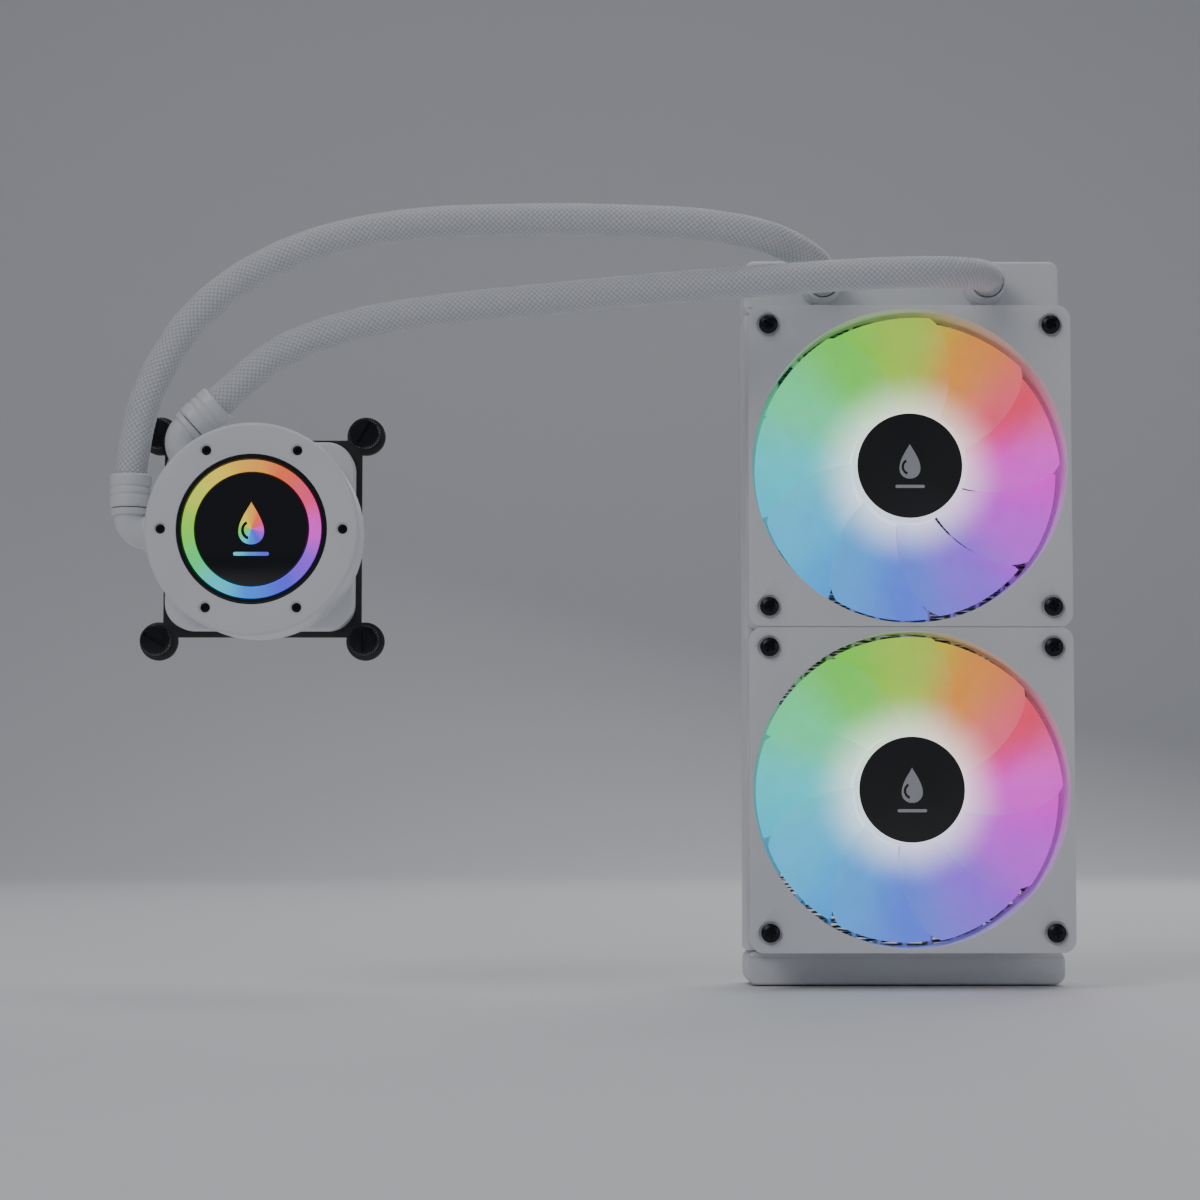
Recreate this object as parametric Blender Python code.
"""All-in-one liquid CPU cooler: a 240 mm radiator with two fans, two sleeved hoses and a round pump head.

Frame: +X to the right, +Y to the rear, +Z up, in metres. The origin is the centre of the radiator's rear
mounting plane, midway between the two fans. Round pieces are turned about axes parallel to Y, and each
moving piece has its object origin on its joint axis.
"""

import math

import bmesh
import bpy
from mathutils import Matrix, Vector

MM = 0.001
GAP = 0.3 * MM                      # clearance between pieces that touch on the real object

# Radiator
FAN_SIZE = 120 * MM
HOLE_PITCH = 105 * MM               # screw holes of a 120 mm fan
FAN_PITCH = 120 * MM                # the two fans stand edge to edge
RADIATOR_DEPTH = 27 * MM
RADIATOR_TOP = 141 * MM
RADIATOR_BOTTOM = -133 * MM
CORE_HALF_HEIGHT = 120 * MM
CORE_FRONT = -23.8 * MM
CORE_REAR = -3.2 * MM
SHEET = 1.5 * MM                    # folded aluminium of the rails and tanks
RAIL_FLANGE = 12.5 * MM
FIN_COLUMNS = 12                    # fin strips side by side, with a flat tube at each side of a strip
TUBE_THICKNESS = 1.8 * MM
FIN_THICKNESS = 0.5 * MM
FIN_FOLDS = 6                       # folds of each fin strip, coarser than the real strip
FITTING_X = 31 * MM                 # the two hose fittings stand at -X and +X of this
FITTING_Z = 131 * MM

# Fans
FAN_DEPTH = 25 * MM
FAN_REAR = -RADIATOR_DEPTH - GAP
DUCT_RADIUS = 58.5 * MM
HUB_RADIUS = 21.3 * MM
BLADE_TIP = 56.7 * MM
BLADE_COUNT = 9
SCREW_RADIUS = 1.75 * MM

# Pump head
PUMP_X = -238 * MM
PUMP_Z = 31.2 * MM
COLD_PLATE_REAR = -60 * MM          # the face that presses on the processor
DRUM_RADIUS = 37.7 * MM
BASE_HALF = 34 * MM
NECK_HALF = 32 * MM
CORNER_RADIUS = 9.9 * MM
EAR_PITCH = 75 * MM                 # square of the four mounting screws
DIAL_RADIUS = 26.2 * MM
COVER_SCREW_CIRCLE = 32 * MM
PORT_RADIUS = 3.5 * MM
ELBOW_REACH = 44.8 * MM             # from the pump's axis to the middle of an elbow
OUTER_PORT_ANGLE = 180              # degrees, anticlockwise from +X, seen from the front
INNER_PORT_ANGLE = 132
OUTER_PORT_Y = -90 * MM
INNER_PORT_Y = -86 * MM

# Hoses
HOSE_RADIUS = 5.75 * MM
HOSE_START = 15 * MM                # from the middle of an elbow to the hose's end face
ELBOW_FLANGE = 8.6 * MM             # from the middle of an elbow to the collar's end
FITTING_FLANGE = 2.6 * MM           # how far a radiator fitting's flange and neck stand out
FITTING_NECK = 5.6 * MM
HOSE_STUB = 8 * MM                  # straight at both ends, so that the end faces are square
HOSE_STEP = 18 * MM
COLLAR_RADIUS = 7.3 * MM

# Centre lines of the hoses, from the pump's elbow to the radiator's fitting, without the two end points
OUTER_HOSE_ROUTE = [
    (-0.2795, -0.0900, 0.0730),
    (-0.2735, -0.0900, 0.0890),
    (-0.2608, -0.0900, 0.1084),
    (-0.2413, -0.0900, 0.1245),
    (-0.2142, -0.0900, 0.1364),
    (-0.1804, -0.0900, 0.1427),
    (-0.1380, -0.0900, 0.1444),
    (-0.1060, -0.0900, 0.1440),
    (-0.0780, -0.0893, 0.1427),
    (-0.0545, -0.0823, 0.1396),
    (-0.0373, -0.0655, 0.1343),
]
INNER_HOSE_ROUTE = [
    (-0.2355, -0.0860, 0.0932),
    (-0.2227, -0.0860, 0.1004),
    (-0.2060, -0.0860, 0.1060),
    (-0.1888, -0.0860, 0.1097),
    (-0.1640, -0.0860, 0.1131),
    (-0.1380, -0.0860, 0.1158),
    (-0.0957, -0.0860, 0.1199),
    (-0.0533, -0.0860, 0.1233),
    (-0.0155, -0.0855, 0.1258),
    (0.0078, -0.0790, 0.1275),
    (0.0248, -0.0625, 0.1295),
]

# Finishes: colour, roughness, metallic
FINISHES = {
    "white_paint": ((0.80, 0.80, 0.81), 0.45, 0.0),
    "white_plastic": ((0.82, 0.82, 0.83), 0.50, 0.0),
    "frosted_plastic": ((0.90, 0.90, 0.92), 0.35, 0.0),
    "white_sleeve": ((0.78, 0.78, 0.79), 0.85, 0.0),
    "black_plastic": ((0.02, 0.02, 0.022), 0.15, 0.0),
    "black_steel": ((0.03, 0.03, 0.032), 0.35, 0.8),
    "steel": ((0.60, 0.60, 0.62), 0.30, 1.0),
    "copper": ((0.80, 0.42, 0.27), 0.28, 1.0),
    "circuit_board": ((0.03, 0.10, 0.05), 0.50, 0.0),
    "coil": ((0.62, 0.30, 0.12), 0.40, 0.6),
    "rubber": ((0.03, 0.03, 0.03), 0.80, 0.0),
    "ceramic": ((0.85, 0.84, 0.80), 0.25, 0.0),
}

FRONT = Vector((0, -1, 0))


# ---------------------------------------------------------------- scene and objects

def clear_scene():
    for item in list(bpy.data.objects):
        bpy.data.objects.remove(item, do_unlink=True)


def add_material(obj, finish):
    colour, roughness, metallic = FINISHES[finish]
    material = bpy.data.materials.new(obj.name)
    material.use_nodes = True
    shader = material.node_tree.nodes["Principled BSDF"]
    shader.inputs["Base Color"].default_value = (*colour, 1)
    shader.inputs["Roughness"].default_value = roughness
    shader.inputs["Metallic"].default_value = metallic
    obj.data.materials.append(material)


def add_object(name, bm, finish, place=(0, 0, 0)):
    """A named sub-part from a bmesh, smooth on its round sides."""
    bmesh.ops.recalc_face_normals(bm, faces=bm.faces[:])
    mesh = bpy.data.meshes.new(name)
    bm.to_mesh(mesh)
    bm.free()
    mesh.shade_smooth()
    mesh.set_sharp_from_angle(angle=math.radians(35))
    obj = bpy.data.objects.new(name, mesh)
    obj.location = place
    bpy.context.scene.collection.objects.link(obj)
    if finish:
        add_material(obj, finish)
    return obj


def add_helper(name, bm, place=(0, 0, 0)):
    """A solid that only adds to or cuts a sub-part."""
    obj = add_object(name, bm, None, place)
    obj.hide_render = True
    obj.display_type = "WIRE"
    return obj


def combine(obj, operation, *helpers):
    for helper in helpers:
        modifier = obj.modifiers.new(helper.name, "BOOLEAN")
        modifier.operation = operation
        modifier.solver = "EXACT"
        modifier.object = helper
    return obj


# ---------------------------------------------------------------- outlines in the XZ plane

def circle(radius, segments, x=0.0, z=0.0):
    turns = [2 * math.pi * i / segments for i in range(segments)]
    return [(x + radius * math.cos(a), z + radius * math.sin(a)) for a in turns]


def arc(radius, start, end, steps, x=0.0, z=0.0):
    """Points from start to end degrees, both ends included."""
    angles = [math.radians(start + (end - start) * i / steps) for i in range(steps + 1)]
    return [(x + radius * math.cos(a), z + radius * math.sin(a)) for a in angles]


def rounded_box(half_x, half_z, radius, steps=4):
    points = []
    for quarter, (sx, sz) in enumerate([(1, 1), (-1, 1), (-1, -1), (1, -1)]):
        x = sx * (half_x - radius)
        z = sz * (half_z - radius)
        points += arc(radius, 90 * quarter, 90 * quarter + 90, steps, x, z)
    return points


def square_corners(pitch):
    half = pitch / 2
    return [(sx * half, sz * half) for sx in (-1, 1) for sz in (-1, 1)]


# ---------------------------------------------------------------- solids

def prism(outlines, rear, front):
    """A flat piece: the first outline less the others, between two Y levels."""
    bm = bmesh.new()
    edges = []
    for outline in outlines:
        ring = [bm.verts.new((x, rear, z)) for x, z in outline]
        edges += [bm.edges.new((a, b)) for a, b in zip(ring, ring[1:] + ring[:1])]
    bmesh.ops.triangle_fill(bm, edges=edges, use_beauty=True)
    bmesh.ops.dissolve_limit(bm, angle_limit=0.01, verts=bm.verts[:], edges=bm.edges[:])
    grown = bmesh.ops.extrude_face_region(bm, geom=bm.faces[:])
    moved = [v for v in grown["geom"] if isinstance(v, bmesh.types.BMVert)]
    bmesh.ops.translate(bm, verts=moved, vec=(0, front - rear, 0))
    return bm


def turned(profile, segments=32, ring=False, phase=0.0):
    """A body turned about the Y axis from (radius, y) points; a ring's profile closes on itself.

    The phase, in degrees, turns the facets, so that a cutter's corners don't fall on those of its piece.
    """
    bm = bmesh.new()
    verts = [bm.verts.new((radius, y, 0)) for radius, y in profile]
    pairs = list(zip(verts, verts[1:]))
    if ring:
        pairs.append((verts[-1], verts[0]))
    edges = [bm.edges.new(pair) for pair in pairs]
    bmesh.ops.spin(bm, geom=verts + edges, cent=(0, 0, 0), axis=(0, 1, 0), angle=2 * math.pi,
                   steps=segments, use_duplicate=False)
    bmesh.ops.remove_doubles(bm, verts=bm.verts[:], dist=0.001 * MM)
    hubs = [v for v in bm.verts if math.hypot(v.co.x, v.co.z) < 0.001 * MM]
    flat = [v for v in hubs if max(abs(e.other_vert(v).co.y - v.co.y) for e in v.link_edges) < 0.001 * MM]
    bmesh.ops.dissolve_verts(bm, verts=flat)
    bmesh.ops.rotate(bm, verts=bm.verts[:], cent=(0, 0, 0),
                     matrix=Matrix.Rotation(math.radians(phase), 3, "Y"))
    return bm


def block(low, high):
    bm = bmesh.new()
    bmesh.ops.create_cube(bm, size=1)
    for vert in bm.verts:
        vert.co = Vector([(lo + hi) / 2 + c * (hi - lo) for lo, hi, c in zip(low, high, vert.co)])
    return bm


def rod(radius, start, end, segments=16):
    """A cylinder between two points."""
    axis = Vector(end) - Vector(start)
    turn = Vector((0, 0, 1)).rotation_difference(axis).to_matrix().to_4x4()
    turn @= Matrix.Rotation(math.radians(11), 4, "Z")
    bm = bmesh.new()
    bmesh.ops.create_cone(bm, cap_ends=True, segments=segments, radius1=radius, radius2=radius,
                          depth=axis.length)
    bmesh.ops.transform(bm, matrix=Matrix.Translation((Vector(start) + Vector(end)) / 2) @ turn,
                        verts=bm.verts[:])
    return bm


def merge(target, *others):
    """Adds separate solids to one mesh, for a helper that cuts or adds in several places."""
    for other in others:
        mesh = bpy.data.meshes.new("piece")
        bmesh.ops.recalc_face_normals(other, faces=other.faces[:])
        other.to_mesh(mesh)
        other.free()
        target.from_mesh(mesh)
        bpy.data.meshes.remove(mesh)
    return target


def holes(radius, places, rear, front, segments=8):
    """Cutters along Y, one at each (x, z)."""
    bores = [rod(radius, (x, rear, z), (x, front, z), segments) for x, z in places]
    return merge(bmesh.new(), *bores)


# ---------------------------------------------------------------- routes

def smooth_points(route, step):
    """Evenly spaced points on a smooth curve through the route's points."""
    points = [Vector(p) for p in route]
    padded = [2 * points[0] - points[1]] + points + [2 * points[-1] - points[-2]]
    fine = []
    for a, b, c, d in zip(padded, padded[1:], padded[2:], padded[3:]):
        for i in range(16):
            t = i / 16
            fine.append(0.5 * (2 * b + (c - a) * t + (2 * a - 5 * b + 4 * c - d) * t * t
                               + (3 * b - a - 3 * c + d) * t ** 3))
    fine.append(points[-1])
    lengths = [0.0]
    for a, b in zip(fine, fine[1:]):
        lengths.append(lengths[-1] + (b - a).length)
    count = round(lengths[-1] / step)
    spaced = []
    k = 0
    for i in range(count + 1):
        wanted = lengths[-1] * i / count
        while k < len(fine) - 2 and lengths[k + 1] < wanted:
            k += 1
        share = (wanted - lengths[k]) / (lengths[k + 1] - lengths[k])
        spaced.append(fine[k].lerp(fine[k + 1], min(1.0, share)))
    return spaced


def tube(name, points, radius, finish, resolution=2, place=(0, 0, 0)):
    """A round tube with filled ends along a list of points."""
    curve = bpy.data.curves.new(name, "CURVE")
    curve.dimensions = "3D"
    curve.bevel_depth = radius
    curve.bevel_resolution = resolution
    curve.use_fill_caps = True
    spline = curve.splines.new("POLY")
    spline.points.add(len(points) - 1)
    for item, point in zip(spline.points, points):
        item.co = (*point, 1)
        item.radius = 1
    obj = bpy.data.objects.new(name, curve)
    obj.location = place
    bpy.context.scene.collection.objects.link(obj)
    add_material(obj, finish)
    return obj


# ---------------------------------------------------------------- radiator

def make_tanks():
    half_depth = RADIATOR_DEPTH / 2
    for name, low, high, inner_low, inner_high in (
        ("radiator_top_tank", CORE_HALF_HEIGHT + GAP, RADIATOR_TOP, CORE_HALF_HEIGHT, RADIATOR_TOP - SHEET),
        ("radiator_bottom_tank", RADIATOR_BOTTOM, -CORE_HALF_HEIGHT - GAP,
         RADIATOR_BOTTOM + SHEET, -CORE_HALF_HEIGHT),
    ):
        middle = (low + high) / 2
        outer = prism([rounded_box(FAN_SIZE / 2, (high - low) / 2, 4 * MM)], half_depth, -half_depth)
        tank = add_object(name, outer, "white_paint", (0, -half_depth, middle))
        edge = tank.modifiers.new("edge", "BEVEL")
        edge.width = 1.0 * MM
        edge.segments = 1
        edge.limit_method = "ANGLE"
        edge.angle_limit = math.radians(60)
        inside = block((-FAN_SIZE / 2 + SHEET, -RADIATOR_DEPTH + SHEET, inner_low),
                       (FAN_SIZE / 2 - SHEET, -SHEET, inner_high))
        combine(tank, "DIFFERENCE", add_helper(name + "_inside", inside))
        if name == "radiator_top_tank":
            ports = holes(4.2 * MM, [(-FITTING_X, FITTING_Z), (FITTING_X, FITTING_Z)],
                          -RADIATOR_DEPTH + 2 * SHEET, -RADIATOR_DEPTH - SHEET, 16)
            combine(tank, "DIFFERENCE", add_helper("fitting_holes", ports))
            port = holes(3.2 * MM, [(0, FITTING_Z)], SHEET, -2 * SHEET, 16)
            combine(tank, "DIFFERENCE", add_helper("fill_hole", port))


def make_side_rails():
    """Two folded channels whose flanges carry the screw holes, open towards the core."""
    half = FAN_SIZE / 2
    depth = RADIATOR_DEPTH
    for name, side in (("left_side_rail", -1), ("right_side_rail", 1)):
        section = [
            (half, 0), (half, -depth), (half - RAIL_FLANGE, -depth), (half - RAIL_FLANGE, -depth + SHEET),
            (half - SHEET, -depth + SHEET), (half - SHEET, -SHEET), (half - RAIL_FLANGE, -SHEET),
            (half - RAIL_FLANGE, 0),
        ]
        bm = bmesh.new()
        face = bm.faces.new([bm.verts.new((side * x, y, -CORE_HALF_HEIGHT)) for x, y in section])
        grown = bmesh.ops.extrude_face_region(bm, geom=[face])
        moved = [v for v in grown["geom"] if isinstance(v, bmesh.types.BMVert)]
        bmesh.ops.translate(bm, verts=moved, vec=(0, 0, 2 * CORE_HALF_HEIGHT))
        rail = add_object(name, bm, "white_paint")
        levels = [sign * FAN_PITCH / 2 + offset * HOLE_PITCH / 2 for sign in (-1, 1) for offset in (-1, 1)]
        places = [(side * HOLE_PITCH / 2, z) for z in levels]
        cutter = holes(2.1 * MM, places, SHEET, -depth - SHEET)
        combine(rail, "DIFFERENCE", add_helper(name + "_holes", cutter))


def make_core():
    """The brazed block: header plates, flat tubes and the folded fin strips between them."""
    half_width = FAN_SIZE / 2 - SHEET - GAP
    top = CORE_HALF_HEIGHT - SHEET
    pitch = (2 * half_width - TUBE_THICKNESS) / FIN_COLUMNS
    fold = 2 * top / FIN_FOLDS
    half_fin = FIN_THICKNESS / 2
    peak_gap = 2.2 * half_fin           # between a fold's peak and the tube, so that the fin stays joined
    outlines = [[(half_width, -CORE_HALF_HEIGHT), (half_width, CORE_HALF_HEIGHT),
                 (-half_width, CORE_HALF_HEIGHT), (-half_width, -CORE_HALF_HEIGHT)]]
    for column in range(FIN_COLUMNS):
        left = -half_width + column * pitch + TUBE_THICKNESS
        right = left + pitch - TUBE_THICKNESS
        for k in range(FIN_FOLDS):
            low = -top + k * fold
            high = low + fold
            centre = (low + high) / 2
            foot = left if k % 2 else right
            peak = right - peak_gap if k % 2 else left + peak_gap
            outlines.append([
                (foot, low + FIN_THICKNESS), (foot, high - FIN_THICKNESS),
                (peak, centre + half_fin), (peak, centre - half_fin),
            ])
    add_object("radiator_core", prism(outlines, CORE_REAR, CORE_FRONT), "white_paint")


def make_fill_plug():
    profile = [(0, 1.6 * MM), (4.4 * MM, 1.6 * MM), (4.4 * MM, GAP), (2.8 * MM, GAP), (2.8 * MM, -2.4 * MM),
               (0, -2.4 * MM)]
    plug = add_object("fill_plug", turned(profile, 16), "black_plastic", (0, 0, FITTING_Z))
    slot = block((-3 * MM, 0.9 * MM, -0.5 * MM), (3 * MM, 2 * MM, 0.5 * MM))
    combine(plug, "DIFFERENCE", add_helper("fill_plug_slot", slot, (0, 0, FITTING_Z)))


def make_radiator_fittings():
    """Each fitting screws into the top tank's front wall; its neck carries the hose."""
    bore = 2.6 * MM
    profile = [
        (bore, 2.6 * MM), (3.9 * MM, 2.6 * MM), (3.9 * MM, -GAP), (7.6 * MM, -GAP),
        (7.6 * MM, -FITTING_FLANGE), (4.6 * MM, -FITTING_FLANGE), (4.6 * MM, -FITTING_NECK),
        (bore, -FITTING_NECK),
    ]
    for name, x in (("outer_hose_fitting", -FITTING_X), ("inner_hose_fitting", FITTING_X)):
        add_object(name, turned(profile, 16, ring=True), "white_plastic", (x, -RADIATOR_DEPTH, FITTING_Z))


# ---------------------------------------------------------------- fans

def make_fan_frame(name, place):
    """A square frame with front and rear flanges, a round duct, four screw posts and the motor's seat."""
    flange = 4 * MM
    half = FAN_SIZE / 2 - 0.1 * MM
    corners = square_corners(HOLE_PITCH)
    body = prism([rounded_box(half, half, 5 * MM), circle(DUCT_RADIUS, 44)], 0, -FAN_DEPTH)
    frame = add_object(name, body, "white_plastic", place)
    outside = 2 * FAN_SIZE / 3
    posts = [circle(4.2 * MM, 8, x, z) for x, z in corners]
    around = prism([rounded_box(outside, outside, 5 * MM, 1), circle(DUCT_RADIUS + 1.35 * MM, 44)] + posts,
                   -flange, -FAN_DEPTH + flange)
    bores = holes(2.3 * MM, corners, MM, -FAN_DEPTH - MM)
    combine(frame, "DIFFERENCE", add_helper(name + "_sides", around, place),
            add_helper(name + "_bores", bores, place))

    seat = turned([(0, -0.4 * MM), (HUB_RADIUS - 0.3 * MM, -0.4 * MM), (HUB_RADIUS - 0.3 * MM, -2.5 * MM),
                   (4.4 * MM, -2.5 * MM), (4.4 * MM, -16 * MM), (3.0 * MM, -16 * MM), (3.0 * MM, -2.6 * MM),
                   (0, -2.6 * MM)], 20)
    struts = []
    half_strut = 1.6 * MM
    for k in range(4):
        strut = block((HUB_RADIUS - 2 * MM, -2 * half_strut, -half_strut),
                      (DUCT_RADIUS + 0.7 * MM, -0.6 * MM, half_strut))
        turn = Matrix.Rotation(math.radians(45 + 90 * k), 4, "Y")
        bmesh.ops.transform(strut, matrix=turn, verts=strut.verts[:])
        struts.append(strut)
    seat_helper = add_helper(name + "_seat", seat, place)
    strut_helper = add_helper(name + "_struts", merge(bmesh.new(), *struts), place)
    combine(frame, "UNION", seat_helper, strut_helper)


def blade_point(chord, span):
    """A point on a blade's middle surface; chord and span run from 0 to 1."""
    root = HUB_RADIUS - 0.9 * MM
    radius = root + (BLADE_TIP - root) * span
    width = math.radians(43 - span)
    sweep = math.radians(20) * span ** 1.4
    angle = sweep + (chord - 0.5) * width
    camber = 1.6 * MM * (1 - (2 * chord - 1) ** 2)
    height = (15.5 - 3.5 * span) * MM
    y = -12.8 * MM + (chord - 0.5) * height + camber
    return Vector((radius * math.cos(angle), y, radius * math.sin(angle)))


def blade(thickness, chords=4, spans=4):
    """One closed blade: two skins each side of the middle surface."""
    bm = bmesh.new()
    skins = []
    for side in (-1, 1):
        skin = []
        for i in range(spans):
            row = []
            for j in range(chords):
                chord, span = j / (chords - 1), i / (spans - 1)
                here = blade_point(chord, span)
                along = blade_point(chord + 0.01, span) - here
                outward = blade_point(chord, span + 0.01) - here
                normal = along.cross(outward).normalized()
                row.append(bm.verts.new(here + side * thickness / 2 * normal))
            skin.append(row)
        skins.append(skin)
    for skin in skins:
        for i in range(spans - 1):
            for j in range(chords - 1):
                bm.faces.new((skin[i][j], skin[i][j + 1], skin[i + 1][j + 1], skin[i + 1][j]))
    back, face = skins
    for i in range(spans - 1):
        for j in (0, chords - 1):
            bm.faces.new((back[i][j], back[i + 1][j], face[i + 1][j], face[i][j]))
    for j in range(chords - 1):
        for i in (0, spans - 1):
            bm.faces.new((back[i][j], back[i][j + 1], face[i][j + 1], face[i][j]))
    return bm


def make_fan_rotor(name, place):
    """The hub, a cup open to the rear with a boss for the shaft, and its blades."""
    inner = HUB_RADIUS - 2 * MM
    recess = HUB_RADIUS - 1.5 * MM
    hub = turned([
        (0, -22.9 * MM), (recess, -22.9 * MM), (recess, -23.8 * MM), (recess + 0.4 * MM, -23.8 * MM),
        (HUB_RADIUS, -22.6 * MM), (HUB_RADIUS, -4.5 * MM), (inner, -4.5 * MM), (inner, -21.4 * MM),
        (4 * MM, -21.4 * MM), (4 * MM, -17.5 * MM), (1.8 * MM, -17.5 * MM), (1.8 * MM, -21.0 * MM),
        (0, -21.0 * MM),
    ], 24)
    rotor = add_object(name, hub, "frosted_plastic", place)
    blades = []
    for k in range(BLADE_COUNT):
        item = blade(1.6 * MM)
        turn = Matrix.Rotation(2 * math.pi * k / BLADE_COUNT, 4, "Y")
        bmesh.ops.transform(item, matrix=turn, verts=item.verts[:])
        blades.append(item)
    combine(rotor, "UNION", add_helper(name + "_blades", merge(bmesh.new(), *blades), place))


def pole_outline(bore, waist, tip, count, steps=3):
    """A laminated core seen along its axis: T-shaped poles round a ring."""
    points = []
    share = 360 / count
    for k in range(count):
        start = share * k
        points += arc(waist, start, start + 0.3 * share, 1)
        points += [arc(tip - 2 * MM, start + 0.3 * share, start + 0.3 * share, 1)[0]]
        points += arc(tip, start + 0.12 * share, start + 0.83 * share, steps)
    return [points, circle(bore, 12)]


def make_fan_motor(prefix, place):
    """What the hub hides: magnet ring, shaft, bearing, stator and the board that carries the lights."""
    magnet = [(16.4 * MM, -5.2 * MM), (HUB_RADIUS - 2.3 * MM, -5.2 * MM), (HUB_RADIUS - 2.3 * MM, -20 * MM),
              (16.4 * MM, -20 * MM)]
    add_object(prefix + "_magnet_ring", turned(magnet, 20, ring=True), "steel", place)
    shaft = [(0, -2.9 * MM), (1.5 * MM, -2.9 * MM), (1.5 * MM, -20.7 * MM), (0, -20.7 * MM)]
    add_object(prefix + "_shaft", turned(shaft, 8), "steel", place)
    bearing = [(1.8 * MM, -3.2 * MM), (2.7 * MM, -3.2 * MM), (2.7 * MM, -15.6 * MM), (1.8 * MM, -15.6 * MM)]
    add_object(prefix + "_bearing", turned(bearing, 10, ring=True), "copper", place)
    stator = prism(pole_outline(4.8 * MM, 7.5 * MM, 15.9 * MM, 4), -5.6 * MM, -14.5 * MM)
    add_object(prefix + "_stator", stator, "coil", place)
    board = [(4.9 * MM, -2.9 * MM), (18.6 * MM, -2.9 * MM), (18.6 * MM, -4.1 * MM), (4.9 * MM, -4.1 * MM)]
    add_object(prefix + "_light_board", turned(board, 16, ring=True), "circuit_board", place)


def make_fan_screws():
    """Long screws through the fans' corners into the radiator's front flange."""
    head = 3.5 * MM
    front = -FAN_DEPTH - GAP
    profile = [(0, front - 2.2 * MM), (head - 0.6 * MM, front - 2.2 * MM), (head, front - 1.5 * MM),
               (head, front), (SCREW_RADIUS, front), (SCREW_RADIUS, 2.6 * MM), (0, 2.6 * MM)]
    number = 0
    for fan in (1, -1):
        for x, z in square_corners(HOLE_PITCH):
            number += 1
            place = (x, FAN_REAR, z + fan * FAN_PITCH / 2)
            add_object(f"fan_screw_{number}", turned(profile, 8), "black_steel", place)


def make_fans():
    for prefix, level in (("upper_fan", FAN_PITCH / 2), ("lower_fan", -FAN_PITCH / 2)):
        place = (0, FAN_REAR, level)
        make_fan_frame(prefix + "_frame", place)
        make_fan_rotor(prefix + "_rotor", place)
        badge = [(0, -23.2 * MM), (HUB_RADIUS - 1.8 * MM, -23.2 * MM), (HUB_RADIUS - 1.8 * MM, -23.8 * MM),
                 (0, -23.8 * MM)]
        add_object(prefix + "_badge", turned(badge, 24), "black_plastic", place)
        make_fan_motor(prefix, place)


# ---------------------------------------------------------------- pump head
# Y levels below are measured from the cold plate's rear face, negative towards the front.

def pump_place():
    return (PUMP_X, COLD_PLATE_REAR, PUMP_Z)


def port_frame(angle):
    """Unit vectors outwards along a port and along its elbow's outlet."""
    turn = math.radians(angle)
    outwards = Vector((math.cos(turn), 0, math.sin(turn)))
    outlet = Vector((math.sin(turn), 0, -math.cos(turn)))
    return outwards, outlet


def make_pump_housing():
    """One moulding: square neck and base, round drum, wet chamber at the rear, dry well at the front."""
    place = pump_place()
    base = prism([rounded_box(BASE_HALF, BASE_HALF, CORNER_RADIUS)], -7.0 * MM, -18.4 * MM)
    housing = add_object("pump_housing", base, "white_plastic", place)
    neck = prism([rounded_box(NECK_HALF, NECK_HALF, CORNER_RADIUS - 2 * MM)], -3.2 * MM, -8.0 * MM)
    drum = turned([(0, -18 * MM), (DRUM_RADIUS, -18 * MM), (DRUM_RADIUS, -43.3 * MM), (0, -43.3 * MM)], 40)
    combine(housing, "UNION", add_helper("pump_neck", neck, place), add_helper("pump_drum", drum, place))

    chamber = turned([(0, MM), (26.5 * MM, MM), (26.5 * MM, -20.6 * MM), (24.5 * MM, -20.6 * MM),
                      (24.5 * MM, -33.8 * MM), (0, -33.8 * MM)], 20, phase=2)
    well = turned([(0, -35.8 * MM), (29 * MM, -35.8 * MM), (29 * MM, -44 * MM), (0, -44 * MM)], 24, phase=3)
    groove = turned([(28.1 * MM, -MM), (30.5 * MM, -MM), (30.5 * MM, -4.9 * MM), (28.1 * MM, -4.9 * MM)],
                    24, ring=True, phase=4)
    ports = []
    for angle, level in ((OUTER_PORT_ANGLE, OUTER_PORT_Y), (INNER_PORT_ANGLE, INNER_PORT_Y)):
        outwards = port_frame(angle)[0]
        level -= COLD_PLATE_REAR
        ports.append(rod(PORT_RADIUS, outwards * 20 * MM + Vector((0, level, 0)),
                         outwards * 42 * MM + Vector((0, level, 0)), 12))
    screws = circle(COVER_SCREW_CIRCLE, 6)
    combine(housing, "DIFFERENCE",
            add_helper("pump_chamber", chamber, place),
            add_helper("pump_well", well, place),
            add_helper("pump_seal_groove", groove, place),
            add_helper("pump_ports", merge(bmesh.new(), *ports), place),
            add_helper("pump_screw_holes", holes(1.2 * MM, screws, -37 * MM, -44 * MM, 6), place))


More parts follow.
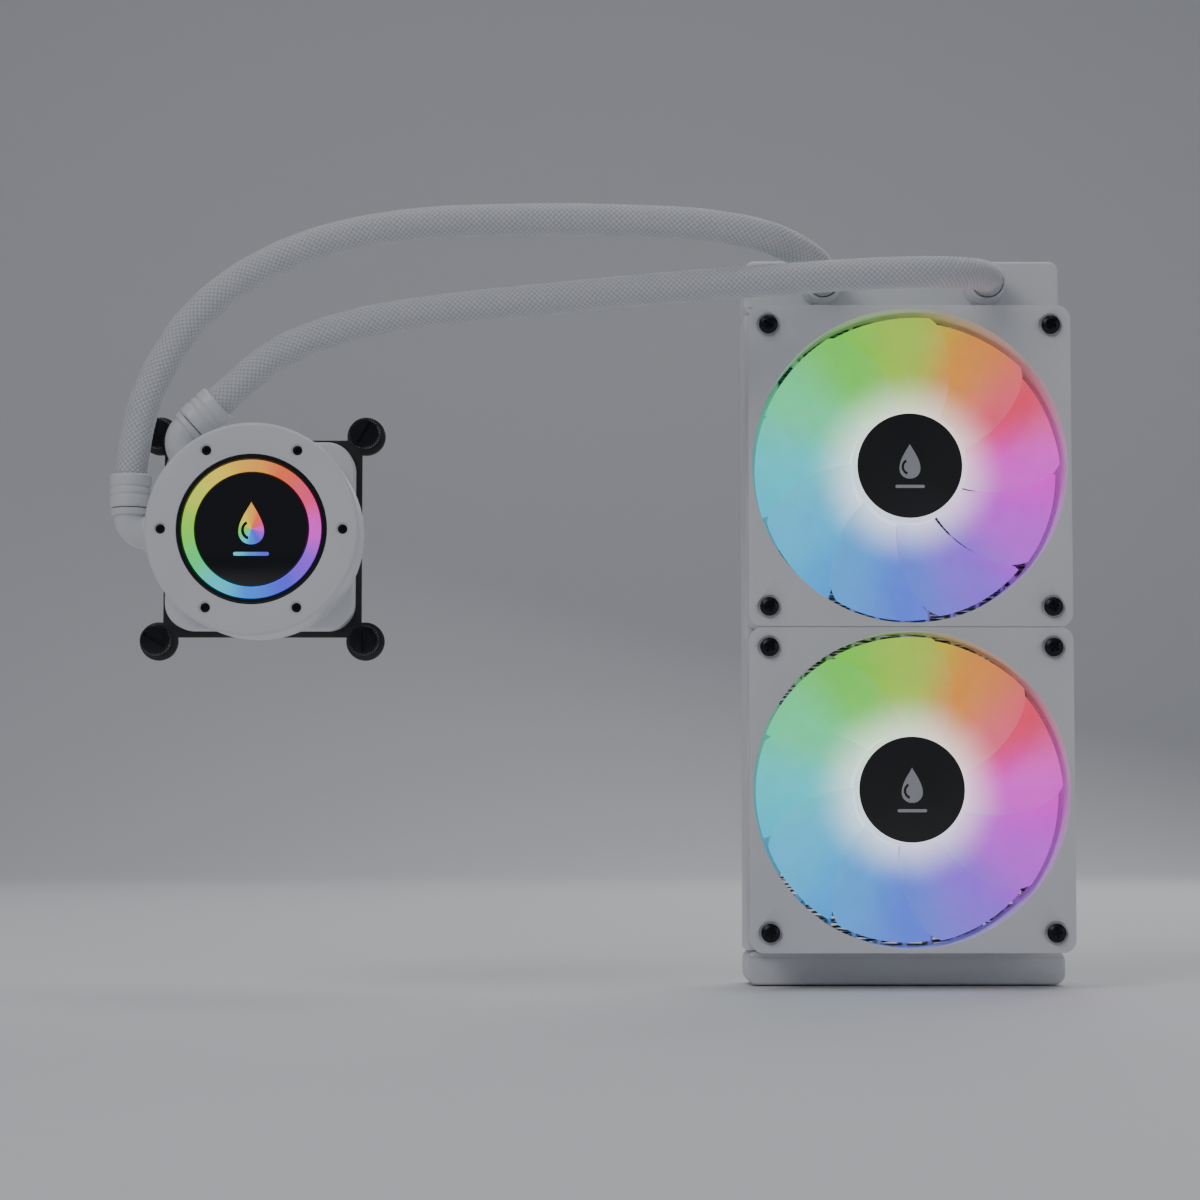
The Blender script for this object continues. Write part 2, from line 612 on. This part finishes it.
def make_pump_front():
    """The cover ring, the dial with its groove, the light ring in the groove and the board behind."""
    place = pump_place()
    front = -46.2 * MM
    seat = -43.3 * MM - GAP
    profile = [(DIAL_RADIUS + GAP, seat), (DRUM_RADIUS, seat), (DRUM_RADIUS, front + 0.9 * MM),
               (DRUM_RADIUS - 0.9 * MM, front), (DIAL_RADIUS + GAP, front)]
    cover = add_object("pump_cover", turned(profile, 40, ring=True), "white_plastic", place)
    cutter = holes(1.7 * MM, circle(COVER_SCREW_CIRCLE, 6), seat + MM, front - MM)
    combine(cover, "DIFFERENCE", add_helper("pump_cover_holes", cutter, place))

    groove_inner, groove_outer = 20.0 * MM, 24.8 * MM
    dial = turned([
        (0, -42 * MM), (28.2 * MM, -42 * MM), (28.2 * MM, -43.3 * MM), (DIAL_RADIUS, -43.3 * MM),
        (DIAL_RADIUS, front), (groove_outer, front), (groove_outer, front + 1.8 * MM),
        (groove_inner, front + 1.8 * MM), (groove_inner, front), (0, front),
    ], 32)
    add_object("pump_dial", dial, "black_plastic", place)
    ring = [(groove_inner + GAP, front + 1.5 * MM), (groove_outer - GAP, front + 1.5 * MM),
            (groove_outer - GAP, front), (groove_inner + GAP, front)]
    add_object("pump_light_ring", turned(ring, 32, ring=True), "frosted_plastic", place)
    board = [(0, -39.9 * MM), (28.4 * MM, -39.9 * MM), (28.4 * MM, -41.5 * MM), (0, -41.5 * MM)]
    add_object("pump_light_board", turned(board, 20), "circuit_board", place)


def make_pump_motor():
    """Stator in the dry well; impeller on a fixed ceramic shaft in the wet chamber."""
    place = pump_place()
    stator = prism(pole_outline(5 * MM, 9 * MM, 22 * MM, 6), -36.1 * MM, -39.5 * MM)
    add_object("pump_stator", stator, "coil", place)
    shaft = [(0, -21.4 * MM), (1.5 * MM, -21.4 * MM), (1.5 * MM, -33.5 * MM), (0, -33.5 * MM)]
    add_object("pump_shaft", turned(shaft, 8), "ceramic", place)
    disc = turned([(1.8 * MM, -22 * MM), (5 * MM, -22 * MM), (5 * MM, -27.5 * MM), (21.5 * MM, -28.5 * MM),
                   (21.5 * MM, -33.0 * MM), (1.8 * MM, -33.0 * MM)], 20, ring=True)
    impeller = add_object("pump_impeller", disc, "black_plastic", place)
    vanes = []
    for k in range(6):
        vane = block((4.5 * MM, -29 * MM, -0.8 * MM), (20.5 * MM, -23.2 * MM, 0.8 * MM))
        turn = Matrix.Rotation(math.radians(60 * k + 9), 4, "Y")
        bmesh.ops.transform(vane, matrix=turn, verts=vane.verts[:])
        vanes.append(vane)
    combine(impeller, "UNION", add_helper("pump_vanes", merge(bmesh.new(), *vanes), place))
    intake = [circle(2.2 * MM, 6, x, z) for x, z in circle(6.5 * MM, 5)]
    plate = prism([circle(25.8 * MM, 24)] + intake, -18.3 * MM, -20.3 * MM)
    add_object("pump_volute_plate", plate, "white_plastic", place)


def make_cold_plate():
    """A copper plate with a block of thin fins under the wet chamber, and the seal round it."""
    place = pump_place()
    plate = prism([rounded_box(31 * MM, 31 * MM, 7 * MM)], 0, -2.9 * MM)
    cold_plate = add_object("cold_plate", plate, "copper", place)
    fins = []
    count, pitch, half = 12, 2.4 * MM, 14 * MM
    for k in range(count):
        x = (k - (count - 1) / 2) * pitch
        fins.append(block((x - 0.5 * MM, -5.9 * MM, -half), (x + 0.5 * MM, -2.4 * MM, half)))
    combine(cold_plate, "UNION", add_helper("cold_plate_fins", merge(bmesh.new(), *fins), place))
    section = circle(0.75 * MM, 5, 29.3 * MM, -4.0 * MM)
    add_object("pump_seal", turned(section, 20, ring=True), "rubber", place)


def make_mounting_bracket():
    """A flat frame trapped under the pump's base, with an ear at each corner for a sprung screw."""
    ear = 7 * MM
    offset = EAR_PITCH / 2
    outline = []
    for quarter, (sx, sz) in enumerate([(1, 1), (-1, 1), (-1, -1), (1, -1)]):
        start = 90 * quarter
        outline += arc(ear, start - 102, start + 192, 7, sx * offset, sz * offset)
    inner = rounded_box(NECK_HALF + 0.4 * MM, NECK_HALF + 0.4 * MM, CORNER_RADIUS - 2 * MM, 3)
    bores = [circle(2.3 * MM, 8, x, z) for x, z in square_corners(EAR_PITCH)]
    plate = prism([outline, inner] + bores, -4.6 * MM, -6.6 * MM)
    add_object("mounting_bracket", plate, "black_steel", pump_place())


def make_mounting_screws():
    """Captive thumbscrews: a clip behind the bracket stops them, a spring pushes them forwards."""
    shank, clip, head = 1.9 * MM, 3.2 * MM, 5.5 * MM
    profile = [
        (0, -1.0 * MM), (shank, -1.0 * MM), (shank, -3.0 * MM), (clip, -3.0 * MM), (clip, -4.3 * MM),
        (shank, -4.3 * MM), (shank, -13.0 * MM), (head, -13.0 * MM), (head, -17.4 * MM),
        (head - 0.5 * MM, -18.0 * MM), (0, -18.0 * MM),
    ]
    turns, per_turn = 3, 8
    coil_radius, wire_radius = 3.4 * MM, 0.4 * MM
    rear, front = -7.3 * MM, -12.4 * MM
    steps = turns * per_turn
    coil = []
    for i in range(steps + 1):
        angle = 2 * math.pi * i / per_turn
        level = rear + (front - rear) * i / steps
        coil.append(Vector((coil_radius * math.cos(angle), level, coil_radius * math.sin(angle))))
    for number, (x, z) in enumerate(square_corners(EAR_PITCH), 1):
        place = (PUMP_X + x, COLD_PLATE_REAR, PUMP_Z + z)
        add_object(f"mounting_screw_{number}", turned(profile, 12), "black_steel", place)
        tube(f"mounting_spring_{number}", coil, wire_radius, "steel", 0, place)


def make_elbow(name, angle, level):
    """A swivel elbow: spigot in the pump's port, round-ended body, and a neck that carries the hose."""
    outwards, outlet = port_frame(angle)
    place = Vector((PUMP_X, level, PUMP_Z)) + outwards * ELBOW_REACH
    ball = 6.3 * MM
    dome = [(0, -ball)] + arc(ball, -60, 30, 3)
    flange, neck = 6.9 * MM, 4.4 * MM
    body = turned(dome + [
        (5.6 * MM, 6.0 * MM), (flange, 6.2 * MM), (flange, ELBOW_FLANGE), (neck, ELBOW_FLANGE),
        (neck, HOSE_START - GAP), (0, HOSE_START - GAP),
    ], 16)
    turn = Vector((0, 1, 0)).rotation_difference(outlet).to_matrix().to_4x4()
    bmesh.ops.transform(body, matrix=turn, verts=body.verts[:])
    elbow = add_object(name, body, "white_plastic", place)
    spigot = rod(3.1 * MM, -outwards * 2 * MM, -outwards * 17 * MM, 10)
    combine(elbow, "UNION", add_helper(name + "_spigot", spigot, place))


# ---------------------------------------------------------------- hoses

def make_collar(name, start, direction, length=12 * MM):
    """A sleeve crimped round the hose's end."""
    inner = HOSE_RADIUS + GAP
    edge = 0.6 * MM
    profile = [(inner, 0), (COLLAR_RADIUS - edge, 0), (COLLAR_RADIUS, edge), (COLLAR_RADIUS, length - edge),
               (COLLAR_RADIUS - edge, length), (inner, length)]
    collar = add_object(name, turned(profile, 16, ring=True), "white_plastic", start)
    collar.rotation_mode = "QUATERNION"
    collar.rotation_quaternion = Vector((0, 1, 0)).rotation_difference(direction)


def make_hoses():
    for name, angle, level, x, route in (
        ("outer_hose", OUTER_PORT_ANGLE, OUTER_PORT_Y, -FITTING_X, OUTER_HOSE_ROUTE),
        ("inner_hose", INNER_PORT_ANGLE, INNER_PORT_Y, FITTING_X, INNER_HOSE_ROUTE),
    ):
        outwards, outlet = port_frame(angle)
        elbow = Vector((PUMP_X, level, PUMP_Z)) + outwards * ELBOW_REACH
        start = elbow + outlet * HOSE_START
        end = Vector((x, -RADIATOR_DEPTH - FITTING_NECK - GAP, FITTING_Z))
        middle = smooth_points([start + HOSE_STUB * outlet] + route + [end + HOSE_STUB * FRONT], HOSE_STEP)
        tube(name, [start] + middle + [end], HOSE_RADIUS, "white_sleeve", 3)
        make_collar(name + "_pump_collar", elbow + outlet * (ELBOW_FLANGE + GAP), outlet)
        fitting_face = Vector((x, -RADIATOR_DEPTH - FITTING_FLANGE - GAP, FITTING_Z))
        make_collar(name + "_radiator_collar", fitting_face, FRONT, 10 * MM)


def main():
    clear_scene()
    make_tanks()
    make_side_rails()
    make_core()
    make_fill_plug()
    make_radiator_fittings()
    make_fans()
    make_fan_screws()
    make_pump_housing()
    make_pump_front()
    make_pump_motor()
    make_cold_plate()
    make_mounting_bracket()
    make_mounting_screws()
    make_elbow("outer_elbow", OUTER_PORT_ANGLE, OUTER_PORT_Y)
    make_elbow("inner_elbow", INNER_PORT_ANGLE, INNER_PORT_Y)
    make_hoses()


main()
